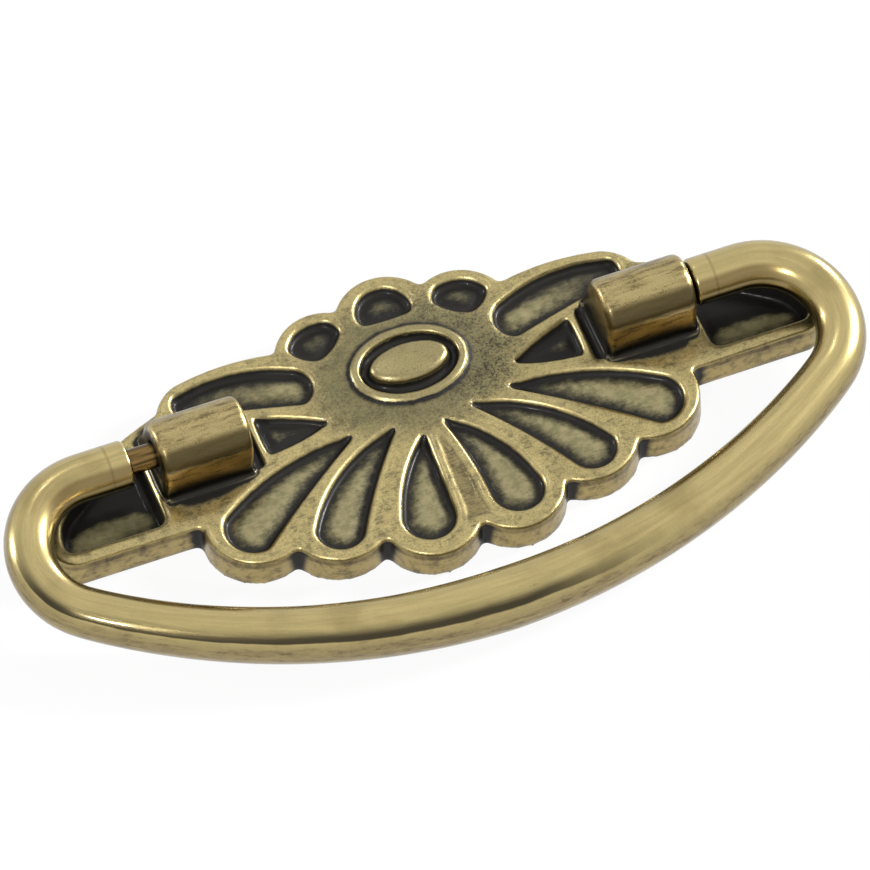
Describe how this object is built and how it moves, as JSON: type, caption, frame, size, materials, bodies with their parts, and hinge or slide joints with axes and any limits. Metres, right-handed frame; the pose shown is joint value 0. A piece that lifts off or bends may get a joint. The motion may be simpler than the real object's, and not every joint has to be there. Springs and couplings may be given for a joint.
{
  "type": "cabinet handle",
  "caption": "Antiqued brass drop pull: a cast shell-fan backplate with an oval boss and knuckles that carry a swinging, swelling bail.",
  "frame": {"origin": "midway between the two fixing screws, on the flat back of the plate, which is the face that meets the drawer front", "axes": "+X along the bail's pins and the handle's length, +Y up the drawer front, from the bow towards the small top lobes, +Z out of the drawer front"},
  "size_m": [0.1219, 0.0594, 0.0145],
  "materials": {
    "cast_brass": "antiqued, dark in the recesses and rubbed on the rims, lacquered",
    "bail_brass": "antiqued and rubbed along its length, lacquered"
  },
  "bodies": {
    "plate": {"backplate": "cast_brass"},
    "bail": {"bail": "bail_brass"}
  },
  "joints": [
    {"name": "bail_swing", "type": "hinge", "parent": "plate", "child": "bail", "pos_m": [0, 0, 0.01], "axis": [-1, 0, 0], "range_deg": [0, 198]}
  ]
}
